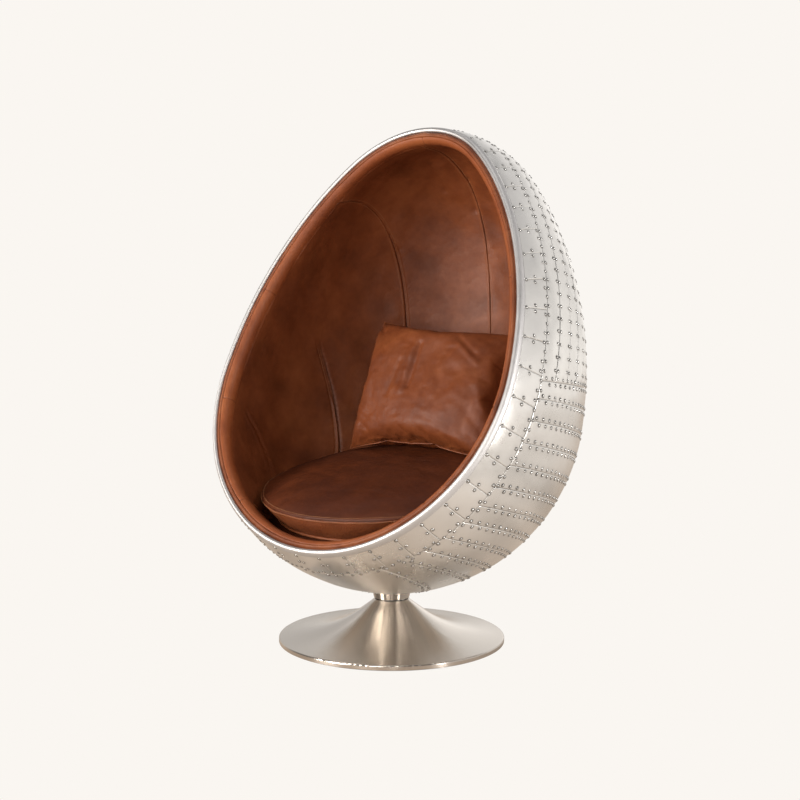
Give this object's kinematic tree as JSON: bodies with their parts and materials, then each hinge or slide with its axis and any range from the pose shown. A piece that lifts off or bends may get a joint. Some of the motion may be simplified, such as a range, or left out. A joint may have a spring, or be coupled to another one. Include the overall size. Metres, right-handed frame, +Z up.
{
  "type": "pod chair",
  "caption": "Egg-shaped swivel pod chair with a riveted aluminium skin, a leather-lined bowl, a padded lip, a loose seat cushion and pillow, on a trumpet base.",
  "frame": {"origin": "on the floor at the swivel axis, at the centre of the underside of the base pad", "axes": "+Z up along the swivel axis, the seat faces -Y, +X to the right of someone facing the chair from the front"},
  "size_m": [0.9774, 0.8771, 1.3409],
  "materials": {
    "base_nickel": "satin",
    "ballast_iron": "matte",
    "zinc_steel": "satin",
    "fastener_steel": "satin",
    "floor_rubber": "matte",
    "bush_polymer": "matte",
    "plywood": "matte",
    "shell_composite": "matte",
    "skin_aluminium": "satin",
    "bead_aluminium": "satin",
    "rivet_aluminium": "satin",
    "foam": "matte",
    "leather": "satin",
    "leather_piping": "satin",
    "zip_polymer": "matte"
  },
  "bodies": {
    "base": {"base_trumpet": "base_nickel", "base_ballast": "ballast_iron", "base_bottom_plate": "zinc_steel", "base_floor_pad": "floor_rubber", "base_socket": "zinc_steel", "bush_lower": "bush_polymer", "bush_upper": "bush_polymer", "thrust_washer": "bush_polymer", "bottom_plate_screws": "fastener_steel", "socket_bolts": "fastener_steel"},
    "pod": {"collar": "base_nickel", "deck_bearer": "plywood", "foam_liner": "foam", "grp_shell": "shell_composite", "inner_plate": "zinc_steel", "lining_back_left": "leather", "lining_back_right": "leather", "lining_front_apron": "leather", "lining_side_left": "leather", "lining_side_right": "leather", "mount_bolts": "fastener_steel", "mount_nuts": "fastener_steel", "mount_pad": "plywood", "retaining_bolt": "fastener_steel", "retaining_washer": "zinc_steel", "rim_bead": "bead_aluminium", "rim_piping": "leather_piping", "rim_roll_cover": "leather", "rim_roll_foam": "foam", "rivets_bands": "rivet_aluminium", "rivets_rim": "rivet_aluminium", "rivets_strips": "rivet_aluminium", "seat_deck": "plywood", "shell_seat_pad": "bush_polymer", "skin_back_panels": "skin_aluminium", "skin_band_1": "skin_aluminium", "skin_band_2": "skin_aluminium", "skin_band_3": "skin_aluminium", "skin_band_4": "skin_aluminium", "skin_band_5": "skin_aluminium", "skin_band_6": "skin_aluminium", "skin_band_7": "skin_aluminium", "skin_band_8": "skin_aluminium", "skin_bottom_cap": "skin_aluminium", "skin_rim_course": "skin_aluminium", "skin_strip_1": "skin_aluminium", "skin_strip_2": "skin_aluminium", "skin_strip_3": "skin_aluminium", "skin_strip_4": "skin_aluminium", "skin_strip_5": "skin_aluminium", "skin_strip_6": "skin_aluminium", "spindle": "zinc_steel", "tack_strip": "plywood"},
    "seat_cushion": {"seat_cushion_cover": "leather", "seat_cushion_core": "foam", "seat_cushion_welt": "leather_piping", "seat_cushion_zip": "zip_polymer"},
    "back_pillow": {"back_pillow_cover": "leather", "back_pillow_core": "foam"}
  },
  "joints": [
    {"name": "pod_swivel", "type": "hinge", "parent": "base", "child": "pod", "pos_m": [0, 0, 0.1], "axis": [0, 0, 1], "continuous": true},
    {"name": "seat_lift_out", "type": "slide", "parent": "pod", "child": "seat_cushion", "axis": [0, -0.7431, 0.6691], "range_m": [0, 0.95]},
    {"name": "pillow_lift_out", "type": "slide", "parent": "seat_cushion", "child": "back_pillow", "axis": [0, -0.8192, 0.5736], "range_m": [0, 0.8]}
  ]
}
